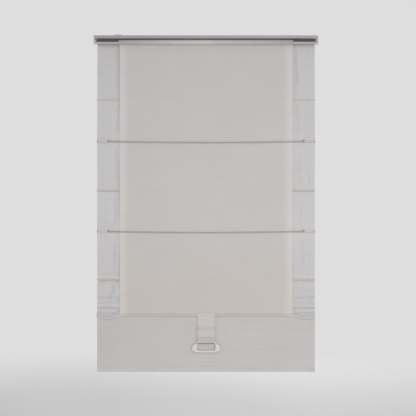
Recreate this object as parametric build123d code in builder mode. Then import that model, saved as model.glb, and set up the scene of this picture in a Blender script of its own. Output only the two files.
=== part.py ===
from build123d import *
import os

os.makedirs("parts", exist_ok=True)

# A cordless roman blind, in millimetres, hanging fully let down.
# X runs along the rail, -Y points to the lift side, +Z is up.
# The origin is in the mounting face, midway between the two screw holes.

# Cloth
cloth_width = 1000.0
cloth_thick = 0.8
cloth_bend = 40.0
side_hem = 25.0

# Drop from the mounting face to each rod and bar in turn
head_to_loop_a = 294.0
loop_a_to_guide_b = 193.0
guide_b_to_loop_c = 222.0
loop_c_to_guide_d = 191.0
guide_d_to_loop_e = 218.0
loop_e_to_lift_bar = 165.0
lift_bar_to_bottom = 261.0
loop_a_z = -head_to_loop_a
guide_b_z = loop_a_z - loop_a_to_guide_b
loop_c_z = guide_b_z - guide_b_to_loop_c
guide_d_z = loop_c_z - loop_c_to_guide_d
loop_e_z = guide_d_z - guide_d_to_loop_e
lift_bar_z = loop_e_z - loop_e_to_lift_bar
bottom_z = lift_bar_z - lift_bar_to_bottom

# Fits
touch_gap = 0.3
slide_gap = 0.1
running_gap = 0.05
end_play = 0.6

# Headrail, a channel that is open upwards
rail_over = 7.5
rail_length = cloth_width + 2 * rail_over
rail_depth = 44.0
rail_height = 13.0
rail_wall = 1.4
rail_lip = 6.0
rail_top_z = -5.5
rail_bottom_z = rail_top_z - rail_height
rail_mid_z = (rail_top_z + rail_bottom_z) / 2
rail_back_y = rail_depth / 2
rail_mouth = rail_depth / 2 - rail_lip

# Mounting clips
clip_spacing = 800.0
clip_length = 36.0
clip_thick = 1.2
clip_hook = 2.6
clip_hole_r = 2.25

# Hook tape, to which the main fabric is pressed
tape_thick = 1.2
tape_height = 12.0
fabric_head_y = rail_back_y + tape_thick

# Roller
roller_z = -32.0
tube_r = 10.0
tube_wall = 1.2
tube_bore_r = tube_r - tube_wall
plug_r = tube_bore_r - running_gap
plug_length = 22.0
plug_flange = 3.0

# End brackets
bracket_thick = 5.0
bracket_foot = 14.0
bracket_low_z = -46.0
bracket_round = 5.0
tongue_length = 20.0
boss_r = 6.5
boss_length = 3.9
bracket_face_x = rail_length / 2
tube_length = rail_length - 2 * (boss_length + plug_flange + end_play)

# Spring motor and brake, inside the tube's left end
spindle_r = 3.0
spindle_flat = 4.4
spindle_seat = 4.0
drum_r = 6.0
drum_length = 32.0
brake_wire_r = 0.8
brake_pitch = 3.6
anchor_r = 7.6
anchor_length = 8.0
motor_wire_r = 0.8
motor_coil_r = 5.4
motor_pitch = 11.0
motor_length = 198.0
idle_pin_r = 2.5
idle_pin_seat = 3.0
idle_pin_length = 30.0

# Lift sheet, which comes off the back of the roller
sheet_width = 796.0
sheet_thick = 0.4
sheet_turns = 2
curl_width = 7.0
curl_r = 13.0
curl_angle = 32.0
sheet_hem = 11.0
sheet_hem_thick = 1.2
turns_inner_r = tube_r + touch_gap
turns_outer_r = turns_inner_r + sheet_turns * sheet_thick
sheet_y = turns_outer_r - sheet_thick

# Rods and their end tips
rod_r = 2.5
rod_over = 2.4
tip_r = 3.6
tip_length = 4.5
tip_round = 1.2
guide_gap = 0.5
guide_y = sheet_y - guide_gap - rod_r

# Rod pockets on the main fabric
pocket_wall = 0.7
pocket_strip = 15.0
pocket_bore_r = rod_r + touch_gap
pocket_r = pocket_bore_r + pocket_wall

# How far back the main fabric's lift face lies at each rod, and how long it is upright there
fabric_a_y = 21.5
fabric_guide_y = 13.9
fabric_c_y = 20.5
fabric_e_y = 20.0
flat_above = 19.0
flat_below = 5.0

# Guide rod sleeves
sleeve_inset = 6.0
sleeve_length = 36.0
sleeve_outer_x = cloth_width / 2 - sleeve_inset
sleeve_inner_x = sleeve_outer_x - sleeve_length
sleeve_wall = 1.2
sleeve_height = 18.0
sleeve_lean = 0.6
sleeve_bend = 15.0

# Lift bar and its pocket
bar_height = 10.0
bar_thick = 3.0
pocket_cloth = slide_gap + cloth_thick
pocket_round = 1.2
bar_pocket_height = bar_height + 2 * pocket_cloth
bar_pocket_depth = bar_thick + 2 * pocket_cloth
lift_bar_y = sheet_y + sheet_hem_thick + touch_gap + bar_pocket_depth / 2
bar_pocket_top_z = lift_bar_z + bar_pocket_height / 2

# Slack of the main fabric above the lift bar, and its droop over the bar at each side
slack_front_y = 14.8
slack_back_y = 18.6
slack_pitch = 47.0
droop_length = 92.0
droop_inner_x = cloth_width / 2 - droop_length
droop_depth = 5.0
droop_drop = 7.0
droop_flat = 12.0

# Weight bar in the bottom hem
weight_height = 20.0
weight_thick = 2.0
weight_inset = 10.0
weight_pocket_height = weight_height + 2 * pocket_cloth
weight_pocket_depth = weight_thick + 2 * pocket_cloth
weight_z = bottom_z + weight_pocket_height / 2

# Strap and pull handle
strap_width = 80.0
strap_thick = 1.8
strap_over = 8.0
strap_drop = 124.0
strap_wave = 1.3
strap_bend = 30.0
strap_flat = 26.0
handle_bar_r = 4.6
handle_gap = 0.4
strap_loop_bore_r = handle_bar_r + handle_gap
strap_loop_r = strap_loop_bore_r + strap_thick
handle_y = lift_bar_y - cloth_thick / 2 - 2 * touch_gap - strap_loop_r
handle_z = lift_bar_z - strap_drop
handle_top_width = 92.0
handle_width = 138.0
handle_base_width = 106.0
handle_thick = 7.0
handle_height = 48.5
handle_tip_drop = 34.0
handle_slot_width = 81.0
handle_base = 11.0
handle_round = 8.0
handle_edge = 2.0


# A length of cloth seen from the rail's end: straight runs with round bends between them
def cloth_profile(front, thick, bend):
    with BuildSketch() as profile:
        with BuildLine():
            FilletPolyline(*front, radius=bend)
            FilletPolyline(*[(y + thick, z) for y, z in front], radius=bend)
            for end_y, end_z in (front[0], front[-1]):
                Line((end_y, end_z), (end_y + thick, end_z))
        make_face()
    return profile.sketch


# A flat pocket of cloth around a bar, seen from the rail's end
def bar_pocket_profile(depth, height, y, z):
    with BuildSketch() as profile:
        with Locations((y, z)):
            RectangleRounded(depth, height, pocket_round)
            Rectangle(depth - 2 * cloth_thick, height - 2 * cloth_thick, mode=Mode.SUBTRACT)
    return profile.sketch


# A plane across the roller's axis, with its origin on the axis
def roller_plane(at_x):
    return Plane(origin=(at_x, 0, roller_z), x_dir=(0, 1, 0), z_dir=(1, 0, 0))


# Headrail and what is fixed to it

with BuildPart() as headrail:
    with BuildSketch(Plane.YZ):
        with Locations((0, rail_mid_z)):
            Rectangle(rail_depth, rail_height)
            Rectangle(rail_depth - 2 * rail_wall, rail_height - 2 * rail_wall, mode=Mode.SUBTRACT)
        with Locations((0, rail_top_z)):
            Rectangle(2 * rail_mouth, 3 * rail_wall, mode=Mode.SUBTRACT)
    extrude(amount=rail_length / 2, both=True)
    fillet(headrail.edges().filter_by(Axis.X).group_by(Axis.Z)[0], rail_wall / 2)
headrail.part.label = "headrail"
export_step(headrail.part, "parts/headrail.step")

hook_top_z = rail_top_z - rail_wall
hook_low_z = hook_top_z - clip_thick
hook_mid_z = (hook_top_z + hook_low_z) / 2
clip_side = rail_mouth - slide_gap
for side, hand in ((-1, "left"), (1, "right")):
    clip_x = side * clip_spacing / 2
    with BuildPart() as clip:
        with BuildSketch(Plane.YZ.offset(clip_x)):
            with Locations((0, -clip_thick / 2)):
                Rectangle(2 * clip_side, clip_thick)
            for way in (-1, 1):
                with Locations((way * (clip_side - clip_thick / 2), hook_low_z / 2)):
                    Rectangle(clip_thick, -hook_low_z)
                with Locations((way * (clip_side + clip_hook / 2 - clip_thick / 2), hook_mid_z)):
                    Rectangle(clip_hook + clip_thick, clip_thick)
        extrude(amount=clip_length / 2, both=True)
        with Locations((clip_x, 0, 0)):
            Hole(clip_hole_r, depth=clip_thick)
    clip.part.label = f"mounting_clip_{hand}"
    export_step(clip.part, f"parts/mounting_clip_{hand}.step")

with BuildPart() as hook_tape:
    with Locations((0, rail_back_y + tape_thick / 2, rail_mid_z)):
        Box(cloth_width, tape_thick, tape_height)
hook_tape.part.label = "hook_tape"
export_step(hook_tape.part, "parts/hook_tape.step")

# End brackets: one moulding each, with a tongue in the rail and a boss on the roller's axis
bracket_outline = [
    (-rail_depth / 2, rail_top_z),
    (rail_depth / 2, rail_top_z),
    (rail_depth / 2, rail_bottom_z),
    (bracket_foot, bracket_low_z),
    (-bracket_foot, bracket_low_z),
    (-rail_depth / 2, rail_bottom_z),
]
tongue_depth = rail_depth - 2 * rail_wall - 2 * slide_gap
tongue_height = rail_height - 2 * rail_wall - 2 * slide_gap
for side, hand in ((-1, "left"), (1, "right")):
    face_x = side * bracket_face_x
    with BuildPart() as bracket:
        with BuildSketch(Plane.YZ.offset(face_x)):
            with BuildLine():
                FilletPolyline(*bracket_outline, radius=bracket_round, close=True)
            make_face()
        extrude(amount=side * bracket_thick)
        with BuildSketch(Plane.YZ.offset(face_x)):
            with Locations((0, rail_mid_z)):
                Rectangle(tongue_depth, tongue_height)
        extrude(amount=-side * tongue_length)
        with BuildSketch(roller_plane(face_x)):
            Circle(boss_r)
        extrude(amount=-side * boss_length)
        if hand == "left":
            seat_x = face_x + side * spindle_seat
            with BuildSketch(roller_plane(seat_x)):
                Circle(spindle_r + running_gap)
                Rectangle(2 * tube_r, spindle_flat + 2 * running_gap, mode=Mode.INTERSECT)
            extrude(amount=-side * (spindle_seat + boss_length), mode=Mode.SUBTRACT)
        else:
            seat_x = face_x + side * idle_pin_seat
            with BuildSketch(roller_plane(seat_x)):
                Circle(idle_pin_r + running_gap)
            extrude(amount=-side * (idle_pin_seat + boss_length), mode=Mode.SUBTRACT)
    bracket.part.label = f"end_bracket_{hand}"
    export_step(bracket.part, f"parts/end_bracket_{hand}.step")


# Roller, with the spring motor and the brake in its left end

tube_left_x = -tube_length / 2
tube_right_x = tube_length / 2
drum_left_x = tube_left_x + plug_length
drum_right_x = drum_left_x + drum_length
anchor_x = drum_right_x + end_play
motor_left_x = anchor_x + anchor_length
motor_right_x = motor_left_x + motor_length
carrier_x = motor_right_x + touch_gap
spindle_left_x = -bracket_face_x - spindle_seat
spindle_right_x = carrier_x + plug_length / 2

with BuildPart() as roller_tube:
    with BuildSketch(roller_plane(tube_left_x)):
        Circle(tube_r)
        Circle(tube_bore_r, mode=Mode.SUBTRACT)
    extrude(amount=tube_length)
roller_tube.part.label = "roller_tube"
export_step(roller_tube.part, "parts/roller_tube.step")

with BuildPart() as brake_plug:
    with BuildSketch(roller_plane(tube_left_x - plug_flange)):
        Circle(tube_r)
    extrude(amount=plug_flange)
    with BuildSketch(roller_plane(tube_left_x)):
        Circle(plug_r)
    extrude(amount=plug_length)
    with BuildSketch(roller_plane(drum_left_x)):
        Circle(drum_r)
    extrude(amount=drum_length)
    with BuildSketch(roller_plane(tube_left_x - plug_flange)):
        Circle(spindle_r + running_gap)
    extrude(amount=plug_flange + plug_length + drum_length, mode=Mode.SUBTRACT)
brake_plug.part.label = "brake_plug"
export_step(brake_plug.part, "parts/brake_plug.step")

with BuildPart() as spindle:
    with BuildSketch(roller_plane(spindle_left_x)):
        Circle(spindle_r)
        Rectangle(2 * tube_r, spindle_flat, mode=Mode.INTERSECT)
    extrude(amount=spindle_seat + boss_length)
    with BuildSketch(roller_plane(spindle_left_x + spindle_seat + boss_length)):
        Circle(spindle_r)
    extrude(amount=spindle_right_x - spindle_left_x - spindle_seat - boss_length)
spindle.part.label = "spindle"
export_step(spindle.part, "parts/spindle.step")

brake_coil_r = drum_r + touch_gap + brake_wire_r
brake_coil_length = drum_length - 2 * brake_wire_r - 2 * end_play
with BuildPart() as brake_spring:
    with BuildLine():
        brake_coil = Helix(
            brake_pitch,
            brake_coil_length,
            brake_coil_r,
            center=(drum_left_x + brake_wire_r + end_play, 0, roller_z),
            direction=(1, 0, 0),
        )
    with BuildSketch(Plane(origin=brake_coil @ 0, z_dir=brake_coil % 0)):
        Circle(brake_wire_r)
    sweep(is_frenet=True)
brake_spring.part.label = "brake_spring"
export_step(brake_spring.part, "parts/brake_spring.step")

with BuildPart() as spring_anchor:
    with BuildSketch(roller_plane(anchor_x)):
        Circle(anchor_r)
        Circle(spindle_r, mode=Mode.SUBTRACT)
    extrude(amount=anchor_length)
spring_anchor.part.label = "spring_anchor"
export_step(spring_anchor.part, "parts/spring_anchor.step")

with BuildPart() as torsion_spring:
    with BuildLine():
        motor_coil = Helix(
            motor_pitch,
            motor_length - 2 * motor_wire_r - 2 * slide_gap,
            motor_coil_r,
            center=(motor_left_x + motor_wire_r + slide_gap, 0, roller_z),
            direction=(1, 0, 0),
        )
    with BuildSketch(Plane(origin=motor_coil @ 0, z_dir=motor_coil % 0)):
        Circle(motor_wire_r)
    sweep(is_frenet=True)
torsion_spring.part.label = "torsion_spring"
export_step(torsion_spring.part, "parts/torsion_spring.step")

with BuildPart() as spring_plug:
    with BuildSketch(roller_plane(carrier_x)):
        Circle(plug_r)
        Circle(spindle_r + running_gap, mode=Mode.SUBTRACT)
    extrude(amount=plug_length)
spring_plug.part.label = "spring_plug"
export_step(spring_plug.part, "parts/spring_plug.step")

with BuildPart() as idle_plug:
    with BuildSketch(roller_plane(tube_right_x + plug_flange)):
        Circle(tube_r)
    extrude(amount=-plug_flange)
    with BuildSketch(roller_plane(tube_right_x)):
        Circle(plug_r)
    extrude(amount=-plug_length)
    with BuildSketch(roller_plane(tube_right_x + plug_flange)):
        Circle(idle_pin_r + running_gap)
    extrude(amount=-plug_flange - plug_length, mode=Mode.SUBTRACT)
idle_plug.part.label = "idle_plug"
export_step(idle_plug.part, "parts/idle_plug.step")

with BuildPart() as idle_pin:
    with BuildSketch(roller_plane(bracket_face_x + idle_pin_seat)):
        Circle(idle_pin_r)
    extrude(amount=-idle_pin_length)
idle_pin.part.label = "idle_pin"
export_step(idle_pin.part, "parts/idle_pin.step")


# Lift sheet: its spare turns on the roller, the hanging sheet with curled edges, and the bottom hem

flat_half = sheet_width / 2 - curl_width
curl_top_z = bracket_low_z
hem_top_z = bar_pocket_top_z + touch_gap
hem_low_z = hem_top_z - sheet_hem
sheet_back_y = sheet_y + sheet_thick
with BuildPart() as lift_sheet:
    with BuildSketch(roller_plane(-sheet_width / 2)):
        Circle(turns_outer_r)
        Circle(turns_inner_r, mode=Mode.SUBTRACT)
    extrude(amount=sheet_width)
    with BuildSketch(Plane.XZ.offset(-sheet_y)):
        with Locations((0, (roller_z + curl_top_z) / 2)):
            Rectangle(sheet_width, roller_z - curl_top_z)
    extrude(amount=-sheet_thick)
    with BuildSketch(Plane.XY.offset(hem_top_z)):
        with BuildLine():
            near = Line((-flat_half, sheet_y), (flat_half, sheet_y))
            near_right = JernArc(near @ 1, (1, 0), curl_r, curl_angle)
            near_left = JernArc(near @ 0, (-1, 0), curl_r, -curl_angle)
            far = Line((-flat_half, sheet_back_y), (flat_half, sheet_back_y))
            far_right = JernArc(far @ 1, (1, 0), curl_r - sheet_thick, curl_angle)
            far_left = JernArc(far @ 0, (-1, 0), curl_r - sheet_thick, -curl_angle)
            Line(near_right @ 1, far_right @ 1)
            Line(near_left @ 1, far_left @ 1)
        make_face()
    extrude(amount=curl_top_z - hem_top_z)
    with BuildSketch(Plane.XZ.offset(-sheet_y)):
        with Locations((0, (hem_top_z + hem_low_z) / 2)):
            Rectangle(sheet_width, sheet_hem)
    extrude(amount=-sheet_hem_thick)
lift_sheet.part.label = "lift_sheet"
export_step(lift_sheet.part, "parts/lift_sheet.step")


# Main fabric, from the hook tape down to the lift bar's pocket

pocket_back = pocket_bore_r + slide_gap
loop_rods = [
    ("loop_rod_a", fabric_a_y - pocket_back, loop_a_z),
    ("loop_rod_c", fabric_c_y - pocket_back, loop_c_z),
    ("loop_rod_e", fabric_e_y - pocket_back, loop_e_z),
]
fabric_front = [(fabric_head_y, rail_top_z), (fabric_head_y, rail_bottom_z)]
for y, z in (
    (fabric_a_y, loop_a_z),
    (fabric_guide_y, guide_b_z),
    (fabric_c_y, loop_c_z),
    (fabric_guide_y, guide_d_z),
    (fabric_e_y, loop_e_z),
):
    fabric_front.append((y, z + flat_above))
    fabric_front.append((y, z - flat_below))
for n, y in ((4, slack_front_y), (3, slack_back_y), (2, slack_front_y), (1, slack_back_y)):
    fabric_front.append((y, bar_pocket_top_z + slack_pitch * n / 2))

droop_back_y = lift_bar_y - bar_pocket_depth / 2 - touch_gap - cloth_thick
droop_front_y = droop_back_y - droop_depth
droop_turn_y = (droop_front_y + droop_back_y + cloth_thick) / 2
droop_turn_r = droop_turn_y - droop_front_y
droop_turn_z = bar_pocket_top_z - bar_pocket_height - droop_drop + droop_turn_r
centre_front = fabric_front + [(lift_bar_y - cloth_thick / 2, bar_pocket_top_z + touch_gap)]
side_front = fabric_front + [
    (droop_front_y, droop_turn_z + droop_flat),
    (droop_front_y, droop_turn_z),
]
hem_front = [(y - cloth_thick, z) for y, z in side_front[1:-1]]
hem_inner_x = cloth_width / 2 - side_hem
hem_middle_x = cloth_width / 2 - side_hem / 2

with BuildPart() as main_fabric:
    for front, start_x, end_x in (
        (centre_front, -droop_inner_x, droop_inner_x),
        (side_front, droop_inner_x, cloth_width / 2),
        (side_front, -droop_inner_x, -cloth_width / 2),
    ):
        with BuildSketch(Plane.YZ.offset(start_x)):
            add(cloth_profile(front, cloth_thick, cloth_bend))
            for label, y, z in loop_rods:
                with Locations((y, z)):
                    Circle(pocket_r)
                with Locations((y + pocket_back - pocket_wall / 2, z + pocket_strip / 2)):
                    Rectangle(pocket_wall, pocket_strip)
        extrude(amount=end_x - start_x)
    for side in (-1, 1):
        with BuildSketch(Plane.YZ.offset(side * droop_inner_x)):
            with BuildLine():
                for turn_r in (droop_turn_r, droop_turn_r - cloth_thick):
                    CenterArc((droop_turn_y, droop_turn_z), turn_r, 180, 180)
                    Line((droop_turn_y + turn_r, droop_turn_z), (droop_turn_y + turn_r, bar_pocket_top_z))
                for y, z in ((droop_front_y, droop_turn_z), (droop_back_y, bar_pocket_top_z)):
                    Line((y, z), (y + cloth_thick, z))
            make_face()
        extrude(amount=side * (cloth_width / 2 - droop_inner_x))
        with BuildSketch(Plane.YZ.offset(side * hem_inner_x)):
            add(cloth_profile(hem_front, 2 * cloth_thick, cloth_bend))
        extrude(amount=side * side_hem)
    for label, y, z in loop_rods:
        with BuildSketch(Plane.YZ):
            with Locations((y, z)):
                Circle(pocket_bore_r)
        extrude(amount=cloth_width / 2, both=True, mode=Mode.SUBTRACT)
main_fabric.part.label = "main_fabric"
export_step(main_fabric.part, "parts/main_fabric.step")


# Rods in the pockets and in front of the lift sheet, and their end tips

guide_rods = [
    ("guide_rod_b", guide_y, guide_b_z),
    ("guide_rod_d", guide_y, guide_d_z),
]
rod_half = cloth_width / 2 + rod_over
tip_start = cloth_width / 2 + touch_gap
for label, y, z in loop_rods + guide_rods:
    with BuildPart() as rod:
        with BuildSketch(Plane.YZ):
            with Locations((y, z)):
                Circle(rod_r)
        extrude(amount=rod_half, both=True)
    rod.part.label = label
    export_step(rod.part, f"parts/{label}.step")

    with BuildPart() as tips:
        for side in (-1, 1):
            with BuildSketch(Plane.YZ.offset(side * tip_start)):
                with Locations((y, z)):
                    Circle(tip_r)
            extrude(amount=side * tip_length)
            with BuildSketch(Plane.YZ.offset(side * tip_start)):
                with Locations((y, z)):
                    Circle(rod_r)
            extrude(amount=side * (rod_half - tip_start), mode=Mode.SUBTRACT)
        rims = tips.edges().filter_by(GeomType.CIRCLE).group_by(SortBy.RADIUS)[-1].sort_by(Axis.X)
        fillet([rims[0], rims[-1]], tip_round)
    tips.part.label = label.replace("rod", "tips")
    export_step(tips.part, f"parts/{tips.part.label}.step")


# Cloth sleeves that hold the guide rods at the fabric's sides

sleeve_mid_x = (sleeve_inner_x + sleeve_outer_x) / 2
sleeve_back_y = fabric_guide_y - cloth_thick - touch_gap
sleeve_bore_r = rod_r + slide_gap
sleeve_r = sleeve_bore_r + sleeve_wall
for label, y, z in guide_rods:
    sleeve_front = [
        (sleeve_back_y - sleeve_wall, z + sleeve_height),
        (sleeve_back_y - sleeve_wall, z + sleeve_height * 2 / 3),
        (y + sleeve_bore_r + sleeve_lean, z + sleeve_height / 3),
        (y + sleeve_bore_r, z),
    ]
    with BuildPart() as sleeves:
        for side in (-1, 1):
            with BuildSketch(Plane.YZ.offset(side * sleeve_mid_x)):
                add(cloth_profile(sleeve_front, sleeve_wall, sleeve_bend))
                with Locations((y, z)):
                    Circle(sleeve_r)
            extrude(amount=sleeve_length / 2, both=True)
            with BuildSketch(Plane.YZ.offset(side * sleeve_mid_x)):
                with Locations((y, z)):
                    Circle(sleeve_bore_r)
            extrude(amount=sleeve_length / 2, both=True, mode=Mode.SUBTRACT)
    sleeves.part.label = label.replace("rod", "sleeves")
    export_step(sleeves.part, f"parts/{sleeves.part.label}.step")


# Lift bar and its end tips

with BuildPart() as lift_bar:
    with Locations((0, lift_bar_y, lift_bar_z)):
        Box(2 * rod_half, bar_thick, bar_height)
lift_bar.part.label = "lift_bar"
export_step(lift_bar.part, "parts/lift_bar.step")

with BuildPart() as lift_tips:
    for side in (-1, 1):
        with BuildSketch(Plane.YZ.offset(side * tip_start)):
            with Locations((lift_bar_y, lift_bar_z)):
                RectangleRounded(bar_pocket_depth, bar_pocket_height, bar_pocket_depth / 3)
        extrude(amount=side * tip_length)
        with BuildSketch(Plane.YZ.offset(side * tip_start)):
            with Locations((lift_bar_y, lift_bar_z)):
                Rectangle(bar_thick, bar_height)
        extrude(amount=side * (rod_half - tip_start), mode=Mode.SUBTRACT)
lift_tips.part.label = "lift_tips"
export_step(lift_tips.part, "parts/lift_tips.step")


# Bottom panel: the pocket around the lift bar, the flat cloth and the hem around the weight bar

panel_top_z = lift_bar_z - bar_pocket_height / 2 + cloth_thick / 2
panel_low_z = bottom_z + weight_pocket_height - cloth_thick / 2
panel_drop = panel_top_z - panel_low_z
panel_mid_z = (panel_top_z + panel_low_z) / 2
with BuildPart() as bottom_panel:
    with BuildSketch(Plane.YZ):
        add(bar_pocket_profile(bar_pocket_depth, bar_pocket_height, lift_bar_y, lift_bar_z))
        add(bar_pocket_profile(weight_pocket_depth, weight_pocket_height, lift_bar_y, weight_z))
    extrude(amount=cloth_width / 2, both=True)
    with Locations((0, lift_bar_y, panel_mid_z)):
        Box(cloth_width, cloth_thick, panel_drop)
    for side in (-1, 1):
        with Locations((side * hem_middle_x, lift_bar_y - cloth_thick / 2, panel_mid_z)):
            Box(side_hem, 2 * cloth_thick, panel_drop)
bottom_panel.part.label = "bottom_panel"
export_step(bottom_panel.part, "parts/bottom_panel.step")

with BuildPart() as weight_bar:
    with Locations((0, lift_bar_y, weight_z)):
        Box(cloth_width - 2 * weight_inset, weight_thick, weight_height)
weight_bar.part.label = "weight_bar"
export_step(weight_bar.part, "parts/weight_bar.step")


# Strap, sewn on at the lift bar and looped around the handle's bar

strap_top_y = sheet_y - touch_gap - strap_thick
strap_mid_y = strap_top_y - strap_wave
strap_wave_z = lift_bar_z - strap_flat
strap_end_z = handle_z + strap_loop_bore_r + strap_thick / 2
strap_step = (strap_wave_z - strap_end_z) / 5
strap_front = [
    (strap_top_y, lift_bar_z + bar_height / 2 + strap_over),
    (strap_top_y, lift_bar_z - bar_height / 2),
    (strap_mid_y - strap_wave, strap_wave_z),
    (strap_mid_y + strap_wave, strap_wave_z - strap_step),
    (strap_mid_y - strap_wave, strap_wave_z - 2 * strap_step),
    (strap_mid_y + strap_wave, strap_wave_z - 3 * strap_step),
    (strap_mid_y - strap_wave, strap_wave_z - 4 * strap_step),
    (handle_y - strap_thick / 2, strap_end_z),
]
with BuildPart() as strap:
    with BuildSketch(Plane.YZ):
        add(cloth_profile(strap_front, strap_thick, strap_bend))
        with Locations((handle_y, handle_z)):
            Circle(strap_loop_r)
    extrude(amount=strap_width / 2, both=True)
    with BuildSketch(Plane.YZ):
        with Locations((handle_y, handle_z)):
            Circle(strap_loop_bore_r)
    extrude(amount=strap_width / 2, both=True, mode=Mode.SUBTRACT)
strap.part.label = "strap"
export_step(strap.part, "parts/strap.step")


# Pull handle: a flat ring with flared sides, and a round bar across its top for the strap

handle_top_z = handle_z + handle_bar_r
handle_low_z = handle_top_z - handle_height - handle_bar_r
handle_tip_z = handle_top_z - handle_tip_drop
handle_outline = [
    (-handle_top_width / 2, handle_top_z),
    (handle_top_width / 2, handle_top_z),
    (handle_width / 2, handle_tip_z),
    (handle_base_width / 2, handle_low_z),
    (-handle_base_width / 2, handle_low_z),
    (-handle_width / 2, handle_tip_z),
]
slot_low_z = handle_low_z + handle_base
slot_high_z = handle_top_z + handle_bar_r
with BuildPart() as pull_handle:
    with BuildSketch(Plane.XZ.offset(-handle_y)):
        with BuildLine():
            FilletPolyline(*handle_outline, radius=handle_round, close=True)
        make_face()
    extrude(amount=handle_thick / 2, both=True)
    fillet(pull_handle.faces().sort_by(Axis.Y)[0].edges(), handle_edge)
    fillet(pull_handle.faces().sort_by(Axis.Y)[-1].edges(), handle_edge)
    with BuildSketch(Plane.XZ.offset(-handle_y)):
        with Locations((0, (slot_low_z + slot_high_z) / 2)):
            Rectangle(handle_slot_width, slot_high_z - slot_low_z)
    extrude(amount=handle_thick, both=True, mode=Mode.SUBTRACT)
    with BuildSketch(Plane.YZ):
        with Locations((handle_y, handle_z)):
            Circle(handle_bar_r)
    extrude(amount=handle_slot_width / 2 + handle_edge, both=True)
pull_handle.part.label = "pull_handle"
export_step(pull_handle.part, "parts/pull_handle.step")
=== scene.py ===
import math

import bmesh
import bpy
from mathutils import Matrix, Vector


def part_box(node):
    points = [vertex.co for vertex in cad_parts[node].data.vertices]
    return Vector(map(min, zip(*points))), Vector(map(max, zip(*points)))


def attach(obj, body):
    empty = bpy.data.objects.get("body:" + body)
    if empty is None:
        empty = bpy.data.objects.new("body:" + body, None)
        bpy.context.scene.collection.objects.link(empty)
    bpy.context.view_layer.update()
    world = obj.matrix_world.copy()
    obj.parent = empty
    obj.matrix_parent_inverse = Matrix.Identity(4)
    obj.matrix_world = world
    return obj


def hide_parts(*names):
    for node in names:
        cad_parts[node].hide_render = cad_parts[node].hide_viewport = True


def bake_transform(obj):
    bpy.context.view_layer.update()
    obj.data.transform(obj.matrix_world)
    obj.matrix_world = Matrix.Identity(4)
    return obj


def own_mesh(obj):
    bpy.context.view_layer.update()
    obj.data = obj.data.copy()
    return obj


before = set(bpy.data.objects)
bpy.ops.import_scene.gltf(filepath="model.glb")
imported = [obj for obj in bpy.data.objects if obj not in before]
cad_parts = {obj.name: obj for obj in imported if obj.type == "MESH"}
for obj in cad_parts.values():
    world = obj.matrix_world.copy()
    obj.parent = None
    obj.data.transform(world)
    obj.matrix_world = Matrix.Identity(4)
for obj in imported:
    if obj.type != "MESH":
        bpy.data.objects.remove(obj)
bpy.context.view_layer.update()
mm = 0.001  # the sizes below are in millimetres


# Where the frame has the blind's parts


def low(node):
    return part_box(node)[0] / mm


def high(node):
    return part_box(node)[1] / mm


def middle(node):
    lowest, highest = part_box(node)
    return (lowest + highest) / 2 / mm


loopRods = {letter: middle("loop_rod_" + letter) for letter in "ace"}
guideRods = {letter: middle("guide_rod_" + letter) for letter in "bd"}
rods = {**loopRods, **guideRods}
liftBar = middle("lift_bar")
weightBar = middle("weight_bar")
roller = middle("roller_tube")
halfWidth = high("bottom_panel").x
pocketTop = high("bottom_panel").z
bottomEnd = low("bottom_panel").z
print("frame read")


# Shader trees


def putValue(socket, value, tree):
    if isinstance(value, Shade):
        tree.links.new(value.socket, socket)
    elif isinstance(value, bpy.types.NodeSocket):
        tree.links.new(value, socket)
    else:
        socket.default_value = value


def addNode(tree, kind, settings=None, values=None, out=0):
    node = tree.nodes.new(kind)
    for name, value in (settings or {}).items():
        setattr(node, name, value)
    for name, value in (values or {}).items():
        putValue(node.inputs[name], value, tree)
    return node.outputs[out]


class Shade:
    # a socket of a shader tree, with the sums that are used on it
    def __init__(self, tree, socket):
        self.tree = tree
        self.socket = socket

    def node(self, kind, settings=None, values=None, out=0):
        return Shade(self.tree, addNode(self.tree, "ShaderNode" + kind, settings, values, out))

    def other(self, out):  # another output of the same node
        return Shade(self.tree, self.socket.node.outputs[out])

    def math(self, operation, *values):
        return self.node("Math", {"operation": operation}, dict(enumerate(values)))

    def __add__(self, other):
        return self.math("ADD", self, other)

    def __radd__(self, other):
        return self.math("ADD", other, self)

    def __sub__(self, other):
        return self.math("SUBTRACT", self, other)

    def __rsub__(self, other):
        return self.math("SUBTRACT", other, self)

    def __mul__(self, other):
        return self.math("MULTIPLY", self, other)

    def __rmul__(self, other):
        return self.math("MULTIPLY", other, self)

    def __truediv__(self, other):
        return self.math("DIVIDE", self, other)

    def sine(self):
        return self.math("SINE", self)

    def size(self):
        return self.math("ABSOLUTE", self)

    def hump(self, at, width):  # 1 at a place, falling to 0 a few widths away
        away = (self - at) / width
        return self.math("EXPONENT", 0 - away * away)

    def step(self, start, end):  # 0 before start, 1 after end
        return self.node(
            "MapRange",
            {"interpolation_type": "SMOOTHSTEP"},
            {"Value": self, "From Min": start, "From Max": end},
        )

    def mix(self, first, second):
        return self.node(
            "Mix", {"data_type": "RGBA"}, {"Factor": self, 6: first, 7: second}, out=2
        )

    def toned(self, tone, dark, pale):  # from a darker to a paler shade of one colour
        return self.mix(colour(*tone, times=dark), colour(*tone, times=pale))

    def noise(self, scale, detail, rough=0.5):
        values = {"Vector": self, "Scale": scale, "Detail": detail, "Roughness": rough}
        return self.node("TexNoise", values=values)

    def bump(self, depth, strength):  # the depth is in millimetres
        values = {"Strength": strength, "Distance": depth * mm, "Height": self}
        return self.node("Bump", values=values)


def linear(tone):
    return tone / 12.92 if tone <= 0.04045 else ((tone + 0.055) / 1.055) ** 2.4


def colour(red, green, blue, times=1.0):  # from 0 to 255, as on a screen
    return tuple(linear(tone / 255) * times for tone in (red, green, blue)) + (1.0,)


materials = {}


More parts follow.
